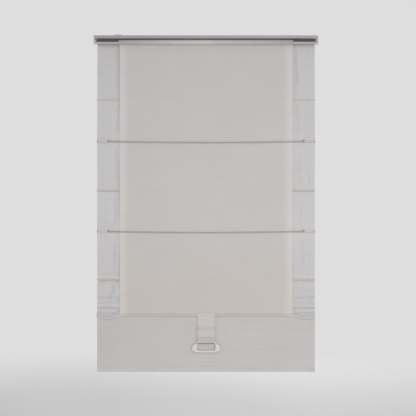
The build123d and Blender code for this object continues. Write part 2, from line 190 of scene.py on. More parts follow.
def startMaterial(name, settings):
    material = bpy.data.materials.new(name)
    material.use_nodes = True
    materials[name] = material
    shader = material.node_tree.nodes["Principled BSDF"]
    for socket, value in settings.items():
        shader.inputs[socket].default_value = value
    return Shade(material.node_tree, None), shader


def finish(base, shader, tint, rough, bumps=None, metal=None):
    links = {"Base Color": tint, "Roughness": rough, "Normal": bumps, "Metallic": metal}
    for name, value in links.items():
        if value is not None:
            putValue(shader.inputs[name], value, base.tree)


def onObject(base):
    return base.node("TexCoord", out=3)


def drawnLines(base, stretch, detail=3.0):  # fine lines, drawn out along one axis of the part
    place = base.node("Mapping", values={"Vector": onObject(base), "Scale": stretch})
    return place.noise(1.0, detail)


def streaks(u, v, along, across, detail, seed):
    place = u.node("CombineXYZ", values={"X": u * along, "Y": v * across, "Z": seed})
    return place.noise(1.0, detail, 0.6)


# Tone of painted seam lines and shade: on the lip over the lift bar, at the sheet's hem and on
# the roll.
seamShadeTone = (164, 161, 148)
clothShades = (0.84, 1.16)  # of the thin and the thick threads


def clothMaterial(name, tone, thread, slub, sheen, edges=None, lines=(), seam=seamShadeTone):
    # Threads are woven one over one. Thicker weft threads make fine streaks across the cloth.
    base, shader = startMaterial(
        name, {"Sheen Weight": sheen, "Sheen Roughness": 0.6, "Specular IOR Level": 0.18}
    )
    u = base.node("SeparateXYZ", values={0: base.node("UVMap", {"uv_map": "cloth"})})
    v = u.other(1)
    warp = (u * (math.pi / (thread * mm))).sine()
    weft = (v * (math.pi / (thread * mm))).sine()
    over = warp * weft * 0.5 + 0.5
    weave = warp.size() * over + weft.size() * (1 - over)
    thick = streaks(u, v, 7.0, 420.0, 3.0, 1.3)
    fine = streaks(u, v, 30.0, 1500.0, 2.0, 4.1)
    warpSlub = streaks(v, u, 5.0, 700.0, 2.0, 7.7)
    cloud = streaks(u, v, 5.0, 5.0, 2.0, 2.9)
    tint = thick * 0.44 + fine * 0.24 + warpSlub * 0.14 + cloud * 0.18
    light = (tint - 0.5) * (slub * 2.2) + 0.5 + (weave - 0.6) * 0.10
    # Painted light: the cloth's side edges are made paler.
    if edges:
        light = light + u.size().step(edges["start"] * mm, edges["end"] * mm) * edges["tone"]
    shaded = light.toned(tone, *clothShades)
    for at, width, amount, lineTone in lines:
        line = v.hump(at * mm, width * mm) * amount
        shaded = line.mix(shaded, light.toned(lineTone, *clothShades))
    # The seam mark paints seam lines and painted shade in the seam tone.
    marked = base.node("Attribute", {"attribute_name": "seam"}, out=2)
    shaded = (marked * 0.8).mix(shaded, light.toned(seam, *clothShades))
    height = weave * 0.55 + thick * 0.5 + fine * 0.3
    finish(base, shader, shaded, 0.97 - weave * 0.12, height.bump(0.22, 0.55))


def metalMaterial(name, tone, rough, along, grain):
    # Drawn or rolled metal with fine lines along one axis of the part.
    base, shader = startMaterial(name, {"Metallic": 1.0})
    stretch = [900.0, 900.0, 900.0]
    stretch["XYZ".index(along)] = 9.0
    lines = drawnLines(base, stretch)
    blotch = onObject(base).noise(35.0, 2.0)
    shaded = (lines * 0.6 + blotch * 0.4).toned(tone, 0.86, 1.12)
    finish(base, shader, shaded, lines * grain + blotch * 0.12 + rough, lines.bump(0.03, 0.5))


tube = {  # angles from the front upwards, in degrees
    "tone": (150, 144, 152),
    "rough": 0.3,
    "metal": 0.75,
    # the groove's dark tone is painted shade
    "groove": (-10, 20),
    "grooveTone": (74, 62, 56),
    # the tape band is a painted reflection of the warm cloth below, not metal
    "tape": (-66, -12),
    "tapeTone": (190, 182, 172),
}


def tubeMaterial(name):
    # Dull drawn tube. Along it run the groove for the sheet's edge, darkened with painted shade,
    # and a pale band of painted reflection of the warm cloth below.
    base, shader = startMaterial(name, {})
    lines = drawnLines(base, [9.0, 900.0, 900.0])
    spot = base.node("SeparateXYZ", values={0: onObject(base)})
    turn = base.math("ARCTAN2", spot.other(2) - roller.z * mm, 0 - spot.other(1))
    turn = turn * (180 / math.pi)

    def band(span, before, after):
        start, end = span
        return turn.step(start - before, start) * (1 - turn.step(end, end + after))

    groove, reflectionBand = band(tube["groove"], 6, 5), band(tube["tape"], 3, 3)
    metal = groove.mix(lines.toned(tube["tone"], 0.86, 1.12), colour(*tube["grooveTone"]))
    shaded = reflectionBand.mix(metal, lines.toned(tube["tapeTone"], 0.96, 1.04))
    bumps = (lines * 0.1 - groove).bump(0.3, 0.5)
    bare = (1 - groove) * (1 - reflectionBand) * tube["metal"]
    finish(base, shader, shaded, lines * 0.16 + tube["rough"] + reflectionBand * 0.3, bumps, bare)


def smoothMaterial(name, tone, rough, pitted, coat, spread=0.05):
    # Moulded plastic or baked paint, with a slight orange peel and a few duller places.
    base, shader = startMaterial(
        name, {"Coat Roughness": 0.25, "Coat Weight": coat, "Specular IOR Level": 0.45}
    )
    peel, blotch = onObject(base).noise(900.0, 2.0), onObject(base).noise(22.0, 3.0)
    shaded = blotch.toned(tone, 1 - spread, 1 + spread)
    finish(base, shader, shaded, blotch * 0.16 + (rough - 0.08), peel.bump(pitted, 0.4))


def rodMaterial(name, tone):
    # Drawn glass fibre in resin: long fibres under a dull skin.
    base, shader = startMaterial(name, {"Coat Weight": 0.25, "Coat Roughness": 0.35})
    fibres = drawnLines(base, [14.0, 2200.0, 2200.0], 4.0)
    shaded = fibres.toned(tone, 0.7, 1.25)
    finish(base, shader, shaded, fibres * 0.25 + 0.38, fibres.bump(0.05, 0.6))


def threadMaterial(name, tone):
    base, shader = startMaterial(name, {"Sheen Weight": 0.2})
    twist = onObject(base).noise(2600.0, 2.0)
    finish(base, shader, twist.toned(tone, 0.85, 1.1), twist * 0.2 + 0.6)


# Shade lines on the cloths: how far down, half width, strength and tone
rodShadeAndWarmTone = (200, 188, 180)  # painted shade where the rod pockets behind the sheet show through it, and a warmer band below the roll
# Tone of painted shade in creases and hollows.
creaseShadeTone = (132, 116, 107)
sheetLines = [
    (roller.z - rods[letter].z, 8, amount, rodShadeAndWarmTone)
    for letter, amount in (("a", 0.35), ("c", 0.2), ("e", 0.12))
]
# A warmer band just below the roll, and the sheet a little warmer and darker towards its lower
# part.
sheetLines += [(30, 16, 0.45, rodShadeAndWarmTone), (1250, 420, 0.9, (194, 188, 184))]
# The hem's two lines: its sewn groove at the top, darkened with painted shade, and painted shade
# under its lower edge.
sheetLines += [(roller.z - pocketTop + at, 1.7, 0.9, seamShadeTone) for at in (2.6, 13)]
# Painted shade in the hollows of the strap's waves.
strapShadeLines = [(75, 8, 0.16, creaseShadeTone), (118, 9, 0.2, creaseShadeTone)]
fabricShadeLines = [  # painted shade in the creases below two pockets and between the last waves of slack
    (high("headrail").z - z, width, amount, creaseShadeTone)
    for z, width, amount in (
        (rods["c"].z - 6.6, 1.1, 0.7),
        (rods["e"].z - 5.5, 2.0, 0.85),
        (-1205, 8, 0.14),
        (-1261, 7, 0.26),
    )
]
fabricShadeLines += [(1150, 180, 0.6, (195, 193, 192))]  # the cloth's lower part is a little darker

cloths = {  # tone, pitch of the threads in millimetres, unevenness and sheen
    "main_cloth": ((201, 199, 200), 0.62, 0.62, 0.08),
    "lift_sheet_cloth": ((197, 195, 193), 0.5, 0.42, 0.1),
    "panel_cloth": ((192, 189, 188), 0.66, 0.85, 0.08),
    "sleeve_cloth": ((207, 203, 198), 0.6, 0.5, 0.08),
    "strap_cloth": ((197, 192, 189), 0.8, 0.5, 0.12),
    "hook_tape_cloth": ((212, 211, 208), 0.9, 0.5, 0.05),
    "pocket_cloth": ((204, 201, 198), 0.6, 0.5, 0.08),
}
clothMarks = {
    "main_cloth": {"lines": fabricShadeLines},
    "lift_sheet_cloth": {
        # painted light that makes the curled side edges paler
        "edges": {"start": 345, "end": 396, "tone": 0.42},
        "lines": sheetLines,
    },
    # The sleeves' seam tone is the painted shade at their mouths.
    "sleeve_cloth": {"seam": (122, 122, 106)},
    # The strap's seam tone is the brown of the painted shade under its loop.
    "strap_cloth": {"lines": strapShadeLines, "seam": (112, 84, 68)},
}
moulded = {  # tone, roughness, depth of the orange peel in millimetres, and coat
    "rail_paint": ((159, 153, 160), 0.42, 0.03, 0.15),
    "bracket_plastic": ((196, 195, 195), 0.48, 0.06, 0.0),
    "plug_plastic": ((150, 150, 152), 0.5, 0.05, 0.0),
    "tip_plastic": ((232, 230, 226), 0.4, 0.04, 0.0),
    "handle_plastic": ((198, 193, 189), 0.4, 0.035, 0.15),
}
metals = {  # tone, roughness, the axis of the drawn lines, and how much they dull it
    "clip_steel": ((176, 177, 180), 0.32, "X", 0.14),
    "bar_aluminium": ((200, 200, 202), 0.34, "X", 0.16),
    "spindle_steel": ((170, 170, 172), 0.3, "X", 0.14),
    "spring_steel": ((128, 128, 132), 0.34, "Y", 0.12),
    "weight_steel": ((150, 150, 152), 0.4, "X", 0.2),
}
for name, look in cloths.items():
    clothMaterial(name, *look, **clothMarks.get(name, {}))
for name, look in moulded.items():
    smoothMaterial(name, *look)
for name, look in metals.items():
    metalMaterial(name, *look)
tubeMaterial("tube_aluminium")
rodMaterial("rod_fibreglass", (160, 161, 147))
threadMaterial("sewing_thread", (196, 193, 187))
print("materials made")


# Cloth meshes


def smooth(t):
    t = min(max(t, 0.0), 1.0)
    return t * t * (3 - 2 * t)


def hump(away):  # 1 at 0, falling to 0 on both sides
    return math.exp(-away * away)


def spaced(start, end, cell):
    count = max(1, round(abs(end - start) / cell))
    return [start + (end - start) * i / count for i in range(count + 1)]


def joined(*runs):
    found = []
    for run in runs:
        found += run[1:] if found else run
    return found


def resampled(path, count):
    lengths = [0.0]
    for first, second in zip(path, path[1:]):
        lengths.append(lengths[-1] + math.dist(first, second))
    found, i = [], 0
    for n in range(count):
        at = lengths[-1] * n / (count - 1)
        while i < len(path) - 2 and lengths[i + 1] < at:
            i += 1
        t = (at - lengths[i]) / max(lengths[i + 1] - lengths[i], 1e-9)
        found.append([a + (b - a) * t for a, b in zip(path[i], path[i + 1])])
    return found


def bothSides(side, centre):  # the left side, the middle, and the side mirrored
    return joined(side, centre, [-x for x in reversed(side)])


def upright(y, top, bottom, row):
    return [(y, z) for z in spaced(top, bottom, row)]


def arc(y, z, radius, start, end, cell=12):  # angles from +Y towards +Z, in degrees
    turns = spaced(start, end, cell)
    return [
        (y + radius * math.cos(math.radians(a)), z + radius * math.sin(math.radians(a)))
        for a in turns
    ]


def newObject(name, mesh, slot=None, material=None):
    obj = bpy.data.objects.new(name, mesh)
    bpy.context.scene.collection.objects.link(obj)
    if not mesh.materials:
        mesh.materials.append(material or materials[slot])
    return obj


def closedMesh(name, points, faces, sharp=True):
    # A closed mesh with its faces turned outwards.
    mesh = bpy.data.meshes.new(name)
    mesh.from_pydata(points, [], faces)
    shape = bmesh.new()
    shape.from_mesh(mesh)
    bmesh.ops.recalc_face_normals(shape, faces=shape.faces)
    shape.to_mesh(mesh)
    shape.free()
    mesh.shade_smooth()
    if sharp:
        mesh.set_sharp_from_angle(angle=math.radians(50))
    return mesh


def clothMesh(name, columns, pathAt, halves, slot, material=None, start=0.0, seamShadeAt=None):
    # A closed cloth. pathAt(x) is its middle line, and halves(x) its thickness to the left and
    # right of that line. A line that goes down has its left side towards the viewer. The last
    # argument, given x, says how much of the painted seam-and-shade tone the last points take.
    faces, points, places, marks = [], [[], []], [], []
    for x in columns:
        path = pathAt(x)
        seam = seamShadeAt(x) if seamShadeAt else []
        marks += [0.0] * (len(path) - len(seam)) + seam
        drop = start
        left, right = halves(x)
        for i, (y, z) in enumerate(path):
            before, after = path[max(i - 1, 0)], path[min(i + 1, len(path) - 1)]
            run = math.dist(before, after)
            ny, nz = (after[1] - before[1]) / run, (before[0] - after[0]) / run
            drop += math.dist(path[i - 1], path[i]) if i else 0
            points[0].append((x * mm, (y + ny * left) * mm, (z + nz * left) * mm))
            points[1].append((x * mm, (y - ny * right) * mm, (z - nz * right) * mm))
            places.append((x * mm, drop * mm))
    rows, count = len(path), len(points[0])
    for c in range(len(columns) - 1):
        for r in range(rows - 1):
            a = c * rows + r
            quad = (a, a + 1, a + rows + 1, a + rows)
            faces += [quad, tuple(count + i for i in reversed(quad))]
    rim = [c * rows for c in range(len(columns))]
    rim += [(len(columns) - 1) * rows + r for r in range(1, rows)]
    rim += [c * rows + rows - 1 for c in range(len(columns) - 2, -1, -1)]
    rim += list(range(rows - 2, 0, -1))
    for a, b in zip(rim, rim[1:] + rim[:1]):
        faces.append((a, b, b + count, a + count))
    mesh = closedMesh(name, points[0] + points[1], faces)
    layer = mesh.uv_layers.new(name="cloth")
    for loop in mesh.loops:
        layer.data[loop.index].uv = places[loop.vertex_index % count]
    mesh.attributes.new("seam", "FLOAT", "POINT").data.foreach_set("value", marks + marks)
    return newObject(name, mesh, slot, material)


def even(thick):
    return lambda x: (thick / 2, thick / 2)


def ringFaces(rings, sides, closed=False):  # between rings of points along a tube
    faces = []
    for n in range(rings if closed else rings - 1):
        a, b = n * sides, (n + 1) % rings * sides
        for k in range(sides):
            up = (k + 1) % sides
            faces.append((a + k, b + k, b + up, a + up))
    return faces


def pathLength(path):
    return sum(math.dist(a, b) for a, b in zip(path, path[1:]))


# Geometry Nodes for what repeats, made into plain meshes


def startTree(name, inputs):
    tree = bpy.data.node_groups.new(name, "GeometryNodeTree")
    face = tree.interface
    face.new_socket("Geometry", in_out="INPUT", socket_type="NodeSocketGeometry")
    face.new_socket("Geometry", in_out="OUTPUT", socket_type="NodeSocketGeometry")
    for title, value in inputs.items():
        socket = face.new_socket(title, in_out="INPUT", socket_type="NodeSocketFloat")
        socket.default_value = value
    return tree, tree.nodes.new("NodeGroupInput").outputs


def grow(tree, kind, values, settings=None):
    return addNode(tree, "GeometryNode" + kind, settings, values)


def spot(tree, **places):
    return addNode(tree, "ShaderNodeCombineXYZ", {}, places)


def endTree(tree, geometry, material):
    real = grow(tree, "RealizeInstances", {"Geometry": geometry})
    smoothed = grow(tree, "SetShadeSmooth", {"Geometry": real})
    painted = grow(tree, "SetMaterial", {"Geometry": smoothed, "Material": material})
    tree.links.new(painted, tree.nodes.new("NodeGroupOutput").inputs[0])


def grown(name, mesh, tree, inputs, slot):
    # Runs a tree on a mesh, and keeps the result as a plain mesh.
    obj = bpy.data.objects.new(name + "_paths", mesh)
    bpy.context.scene.collection.objects.link(obj)
    modifier = obj.modifiers.new("grow", "NODES")
    modifier.node_group = tree
    for item in tree.interface.items_tree:
        if item.in_out == "INPUT" and item.name in inputs:
            modifier[item.identifier] = inputs[item.name]
    depsgraph = bpy.context.evaluated_depsgraph_get()
    made = bpy.data.meshes.new_from_object(obj.evaluated_get(depsgraph), depsgraph=depsgraph)
    made.name = name
    obj.modifiers.remove(modifier)
    bpy.data.objects.remove(obj)
    return newObject(name, made, slot)


stitch = {
    "pitch": 3.1,
    "length": 2.3,
    "thread": 0.42,
    "inset": 1.6,  # from the hem's inner edge
    "uneven": (0.42, 0.54),  # shares of the length that a stitch takes each way
    "seed": 7,
}
stitchSizes = {title: stitch[title.lower()] * mm for title in ("Pitch", "Length", "Thread")}


def stitchTree():
    tree, given = startTree("stitch_row", stitchSizes)
    curve = grow(tree, "MeshToCurve", {0: given["Geometry"]})
    length = {"Curve": curve, "Length": given["Pitch"]}
    steps = grow(tree, "ResampleCurve", length, {"mode": "LENGTH"})
    tangent = grow(tree, "InputTangent", {})
    turn = addNode(
        tree, "FunctionNodeAlignRotationToVector", {"axis": "X"}, {"Vector": tangent}
    )
    least, most = stitch["uneven"]
    uneven = addNode(
        tree,
        "FunctionNodeRandomValue",
        {"data_type": "FLOAT"},
        {2: least, 3: most, "Seed": stitch["seed"]},
        1,
    )
    times = {"operation": "MULTIPLY"}
    long = addNode(tree, "ShaderNodeMath", times, {0: given["Length"], 1: uneven})
    thin = addNode(tree, "ShaderNodeMath", times, {0: given["Thread"], 1: 0.5})
    size = spot(tree, X=long, Y=thin, Z=thin)
    ball = grow(tree, "MeshIcoSphere", {"Radius": 1.0, "Subdivisions": 1})
    points = {"Points": steps, "Instance": ball, "Rotation": turn, "Scale": size}
    endTree(tree, grow(tree, "InstanceOnPoints", points), materials["sewing_thread"])
    return tree


stitches = stitchTree()


def sew(name, rows, slot):
    # Each row is a list of points in millimetres along the middle of its stitches.
    points, edges = [], []
    for row in rows:
        edges += [(len(points) + i, len(points) + i + 1) for i in range(len(row) - 1)]
        points += [[c * mm for c in point] for point in row]
    mesh = bpy.data.meshes.new(name)
    mesh.from_pydata(points, edges, [])
    return grown(name, mesh, stitches, stitchSizes, slot)


def acrossRow(y, z, half, over=None):  # over(x) is how far an edge lifts it forward
    return [(x, y - (over(x) if over else 0), z) for x in spaced(-half, half, 5 if over else 20)]


# The main fabric: how far back its front face lies at each height

fabric = {
    "thick": 0.8,
    "flatAbove": 19,  # how far the cloth hangs upright above and below each rod
    "flatBelow": 5,
    "pocketBack": 2.9,  # from the middle of a loop rod to the cloth
    "sleeveBack": 1.1,  # from a guide rod's sleeve to the cloth
    "hemWidth": 25,
    "hemStep": 0.8,
    "fineFrom": 395,  # the mesh is finer from here out
    "cell": 12.5,
    "sideCell": 5,
    "row": 5,
    "rippleDepth": 0.7,
    "rippleWidth": 95,
    "edgeRipple": 1.3,
    "edgeFrom": 430,
    "edgePitch": 61,
    "hollowDepth": 7,  # the soft vertical hollow beside the lift sheet, at its top and low end
    "hollowAt": (405, 438),
    "hollowWidth": (7, 16),
    "dents": [  # across, drop, width, height and depth
        (-443, 1168, 9, 26, 3.5),
        (-449, 1209, 8, 11, 5),
        (450, 1180, 10, 22, 3.5),
        (437, 1216, 9, 8, 4),
    ],
}
hemStart = halfWidth - fabric["hemWidth"]
slack = {  # the waves above the lift bar, deeper beside the lift sheet
    "front": 14.8,
    "back": 18.6,
    "pitch": 47,
    "lower": 10,
    "sideTimes": 3.2,
    "sideFrom": 397,
    "rippleFrom": 396,
    "rippleDepth": 0.7,
}
tucks = {  # how far the side cloth tucks in below two of the pockets
    "depth": {"c": 0.8, "e": 4.5},
    "below": 8.5,
    "height": 4.2,
    "from": 396,
}


def stationList():
    found = [(high("headrail").z, low("headrail").z, high("hook_tape").y)]
    for letter in "abcde":
        if letter in loopRods:
            y = rods[letter].y + fabric["pocketBack"]
        else:
            y = high("guide_sleeves_" + letter).y + fabric["sleeveBack"]
        z = rods[letter].z
        found.append((z + fabric["flatAbove"], z - fabric["flatBelow"], y))
    for n in (4, 3, 2, 1):
        y = slack["front"] if n % 2 == 0 else slack["back"]
        z = pocketTop + slack["pitch"] * n / 2 - slack["lower"]
        found.append((z, z, y))
    end = pocketTop + 0.3
    found.append((end, end, liftBar.y - fabric["thick"] / 2))
    return found


stations = stationList()
fabricTop = stations[0][0]
lastWave = stations[-2][0]


def stationY(station, x):
    if station[0] > station[1]:
        return station[2]
    rest = (slack["front"] + slack["back"]) / 2
    side = (slack["sideTimes"] - 1) * smooth((abs(x) - slack["sideFrom"]) / 16)
    return station[2] + (station[2] - rest) * side * (station is not stations[-1])


def tuckY(x, z):
    deep = sum(
        depth * hump((z - rods[letter].z + tucks["below"]) / tucks["height"])
        for letter, depth in tucks["depth"].items()
    )
    return smooth((abs(x) - tucks["from"]) / 12) * deep


def dentY(x, z):
    return sum(
        deep * hump((x - at) / wide) * hump((z + drop) / tall)
        for at, drop, wide, tall, deep in fabric["dents"]
    )


def slackRipple(x, z):
    side = smooth((abs(x) - slack["rippleFrom"]) / 30)
    return side * slack["rippleDepth"] * math.sin(x / 17 + z / 9)


def softRipple(x, z, seed, free):  # free is 0 at the rods and 1 between them
    wave = math.sin(x / fabric["rippleWidth"] + seed)
    wave += 0.6 * math.sin(x / fabric["rippleWidth"] * 1.9 + seed * 1.7)
    phase = seed + (3 if x > 0 else 0)
    edge = smooth((abs(x) - fabric["edgeFrom"]) / 70) * math.sin(z / fabric["edgePitch"] + phase)
    side, width = (
        a + (b - a) * z / pocketTop for a, b in (fabric["hollowAt"], fabric["hollowWidth"])
    )
    hollow = min(free * 2.5, 1) * fabric["hollowDepth"] * hump((abs(x) - side) / width)
    return free * (fabric["rippleDepth"] * wave + fabric["edgeRipple"] * edge) + hollow


def fabricY(x, z):
    # The middle of the cloth: upright at each rod, with soft ripples between.
    local = fabric["thick"] / 2 + tuckY(x, z) + dentY(x, z)
    for upper, lower in zip(stations, stations[1:]):
        if z >= upper[1]:
            return stationY(upper, x) + local
        if z > lower[0]:
            t = (upper[1] - z) / (upper[1] - lower[0])
            y0, y1 = stationY(upper, x), stationY(lower, x)
            y = y0 + (y1 - y0) * smooth(t) + local
            if upper[0] == upper[1]:
                return y + slackRipple(x, z)
            return y + softRipple(x, z, upper[0] * 0.7, math.sin(math.pi * t) ** 2)
    return stations[-1][2] + fabric["thick"] / 2


def hemLift(x):
    return fabric["hemStep"] * smooth((abs(x) - halfWidth + fabric["hemWidth"]) / 0.7)


def fabricHalves(x):
    return fabric["thick"] / 2 + hemLift(x), fabric["thick"] / 2


def fabricColumns():
    fine = fabric["fineFrom"]
    side = joined(
        spaced(-halfWidth, -hemStart - 1, 4),
        [-hemStart - 1, -hemStart - 0.5, -hemStart],
        spaced(-hemStart, -fine, fabric["sideCell"]),
    )
    return bothSides(side, spaced(-fine, fine, fabric["cell"]))


lip = {
    "inner": 400,  # where the lip over the lift bar starts, and where it is whole
    "full": 436,
    "belly": (15.5, -1288.5, 11.0),  # the middle and radius of its round front
    "turnEnd": 240,  # where that ends, in degrees
    "innerY": 10.6,  # at its inner end it only wraps the bar's pocket
    "innerLow": -1290.6,
    "back": 11.75,
    "band": 12,  # its sewn edge
    "sags": [(-446, 4.5, 24), (462, 3.5, 34)],  # where it hangs lower: place, depth and width
    "rows": 44,
    "seamShadeShare": 0.95,  # how much of the painted seam-and-shade tone shows
    "startOver": 8,
}


def easedLine(y0, z0, y1, z1, count):  # upright at both ends
    return [
        (y0 + (y1 - y0) * smooth(i / count), z0 + (z1 - z0) * i / count)
        for i in range(count + 1)
    ]


def lipStart(x):
    return smooth((abs(x) - lip["inner"] + lip["startOver"]) / lip["startOver"])


def lipPath(x):
    # From the last wave of slack to the cloth's end. In the middle it ends on the lift bar's
    # pocket, and at the sides it droops over the bar and turns back up to it.
    y0 = fabricY(x, lastWave)
    centre = easedLine(y0, lastWave, liftBar.y, stations[-1][0], 12)
    front, under, end = lip["innerY"], lip["innerLow"], pocketTop - 1
    wrap = easedLine(y0, lastWave, front, end, 12)
    wrap += upright(front, end - 1, under + 0.6, 1.5)
    wrap += [(front + 0.5, under), (front + 1, under + 0.5), (front + 1, end)]
    sag = sum(deep * hump((x - at) / width) for at, deep, width in lip["sags"])
    bellyY, bellyZ, bellyR = lip["belly"]
    bellyZ -= sag + 0.6 * math.sin(x / 13)
    side = easedLine(y0, lastWave, bellyY - bellyR, bellyZ + 3, 16)
    side += arc(bellyY, bellyZ, bellyR, 180, lip["turnEnd"], 6)
    y, z = side[-1]
    side += [(y + 0.7, z - 0.4), (y + 1.35, z), (lip["back"], z + 1), (lip["back"], end)]
    start = lipStart(x)
    share = smooth((abs(x) - lip["inner"]) / (lip["full"] - lip["inner"]))
    return [
        [(a + (b - a) * start) * (1 - share) + c * share for a, b, c in zip(*trio)]
        for trio in zip(*(resampled(path, lip["rows"]) for path in (centre, wrap, side)))
    ]


def lipSeamShade(x):
    # How much painted tone each point of the lip takes: its sewn line above the band with
    # painted shade in its groove, painted shade along its turned edge, and a little painted
    # shade between them.
    path = lipPath(x)
    lowest = min(range(len(path)), key=lambda i: path[i][1])
    found = []
    for i, (y, z) in enumerate(path):
        up = z - path[lowest][1]
        sewn = hump((up - lip["band"]) / 2.6) + 0.5 * hump(up / 1.3)
        tone = min(1, max(sewn, 0.15 * (0 < up < lip["band"])))
        found.append(lip["seamShadeShare"] * lipStart(x) * tone * (i <= lowest + 2))
    return found


def fabricPath(x, top, bottom):
    return [(fabricY(x, z), z) for z in spaced(top, bottom, fabric["row"])]


columns = fabricColumns()
seams = {
    letter: rods[letter].z + (-4 if letter in loopRods else fabric["flatAbove"])
    for letter in "abcde"
}
above = 16  # how far above a loop rod a piece's end is set
# tapeEnd is the first piece's start, and slackEnd the last piece's end.
tapeEnd, slackEnd = -24, -1262
hemX = hemStart + stitch["inset"]
fabricPieces = []
for upper, lower in zip(["head", *"abcde"], [*"abcde", "bar"]):
    name, last = upper + "_to_" + lower, lower == "bar"
    top, bottom = seams.get(upper, fabricTop), seams.get(lower, lastWave)
    start, end = seams.get(upper, tapeEnd), seams.get(lower, slackEnd)
    if lower in loopRods:
        end = rods[lower].z + above

    def pathAt(x):
        path = fabricPath(x, top, bottom)
        return path + lipPath(x)[1:] if last else path

    piece = clothMesh(
        "fabric_" + name,
        columns,
        pathAt,
        fabricHalves,
        "main_cloth",
        start=fabricTop - top,
        seamShadeAt=lipSeamShade if last else None,
    )
    rows = []
    for x in (-hemX, hemX):
        for side in (-1, 1):
            half = fabricHalves(x)[0 if side < 0 else 1]
            path = [(x, y + side * half, z) for y, z in fabricPath(x, top - 2, bottom + 1)]
            rows.append([p for p in path if p[2] < low("hook_tape").z - 2])
    thread = sew("hem_stitches_" + name, rows, "main_cloth")
    for obj in (piece, thread):
        start * mm
        end * mm
        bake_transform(obj)
    fabricPieces.append((piece, thread, top - (pocketTop if last else bottom)))
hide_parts("main_fabric")
for piece, thread, drop in fabricPieces:
    drop * mm
print("main fabric made")


# Rod pockets: a strip that is sewn on above the rod and goes round it

pocket = {
    "wall": 0.6,
    "bore": 2.85,
    "strip": 15,  # how far above the rod it is sewn on
    "seam": 5.4,
    "wave": 0.12,
    "gap": 0.05,
    "flat": 28,
}


def pocketPath(y, z):
    middleR = pocket["bore"] + pocket["wall"] / 2
    flat = y + fabric["pocketBack"] - pocket["wall"] / 2 - pocket["gap"]

    def path(x):
        wave = pocket["wave"] * math.sin(x / 23)
        front = flat - hemLift(x)
        strip = [(front, z + pocket["strip"] - 1.3 * i) for i in range(8)]
        return strip + [(front - 0.2, z + 4.4)] + arc(y, z + wave * 0.3, middleR, 62, 312, 14)

    return path


side = joined(spaced(-halfWidth + 0.4, -hemStart - 1, 6), [-hemStart - 0.5, -hemStart])
pocketColumns = bothSides(side, spaced(-hemStart, hemStart, 10))
for letter, rod in loopRods.items():
    body = "rod_" + letter
    piece = clothMesh(
        "rod_pocket_" + letter,
        pocketColumns,
        pocketPath(rod.y, rod.z),
        even(pocket["wall"]),
        "main_cloth",
        material=materials["pocket_cloth"],
    )
    front = rod.y + fabric["pocketBack"] - pocket["wall"] - pocket["gap"]
    back = rod.y + fabric["pocketBack"] + fabric["thick"]
    rows = [
        acrossRow(y, rod.z + drop, halfWidth - 3, over)
        for y, over in ((front, hemLift), (back, None))
        for drop in (pocket["seam"], pocket["strip"] - 1.6)
    ]
    thread = sew("rod_pocket_stitches_" + letter, rows, "main_cloth")
    for obj in (piece, thread):
        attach(obj, body)


# Sleeves: a folded tab at each side that carries a guide rod

sleeve = {
    "inner": 446,
    "outer": 494,
    "wall": 0.5,
    "bore": 2.62,
    "height": 14,
    "tabLow": 9.6,  # the tab is flat from here up
    "shade": 6,  # how far its dark mouth shows
    "flat": 53,
}
sleeveBack = high("guide_sleeves_b").y


def sleevePath(y, z):
    middleR = sleeve["bore"] + sleeve["wall"] / 2
    frontY = sleeveBack - 1.2 + sleeve["wall"] / 2
    backY = sleeveBack - sleeve["wall"] / 2 + 0.1
    tabLow = z + sleeve["tabLow"]

    def path(x):
        front = [(frontY, z + sleeve["height"] - 1.5 * i) for i in range(5)]
        front += [(frontY - 0.35, tabLow), (frontY - 1.2, z + 7.6), (y + 1.4, z + 4.4)]
        ring = arc(y, z, middleR, 100, 362, 14)
        back = [(y + middleR + 0.35, z + 2.4), (backY - 0.6, z + 6.2), (backY, tabLow)]
        return front + ring + back + [(backY, tabLow + 1.7 * i) for i in range(1, 6)]

    return path


def mouthShade(x):
    # The turned-in end that the rod goes into is in shade.
    dark = 0.9 * (1 - smooth((abs(x) - sleeve["inner"] - sleeve["shade"] + 2) / 3))
    return [dark * (z < 9) for y, z in sleevePath(0, 0)(x)]


guideRod = {"radius": 2.5, "half": 500, "sag": 5, "between": 446, "sides": 20}


def rodMesh(name, y, z):
    # A guide rod sags a little between its sleeves.
    points = []
    places = spaced(-guideRod["half"], guideRod["half"], 10)
    sides = guideRod["sides"]
    for x in places:
        sag = guideRod["sag"] * max(0, 1 - (x / guideRod["between"]) ** 2)
        for a in spaced(0, 2 * math.pi, 2 * math.pi / sides)[:-1]:
            points.append((
                x * mm,
                (y + guideRod["radius"] * math.cos(a)) * mm,
                (z - sag + guideRod["radius"] * math.sin(a)) * mm,
            ))
    faces = ringFaces(len(places), sides) + [tuple(range(sides))[::-1]]
    faces.append(tuple(len(points) - sides + k for k in range(sides)))
    return closedMesh(name, points, faces)


for letter, rod in guideRods.items():
    name = "guide_rod_%s_sagging" % letter
    sagging = newObject(name, rodMesh(name, rod.y, rod.z), "rod_fibreglass")
    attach(sagging, "rod_" + letter)
    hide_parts("guide_rod_" + letter)

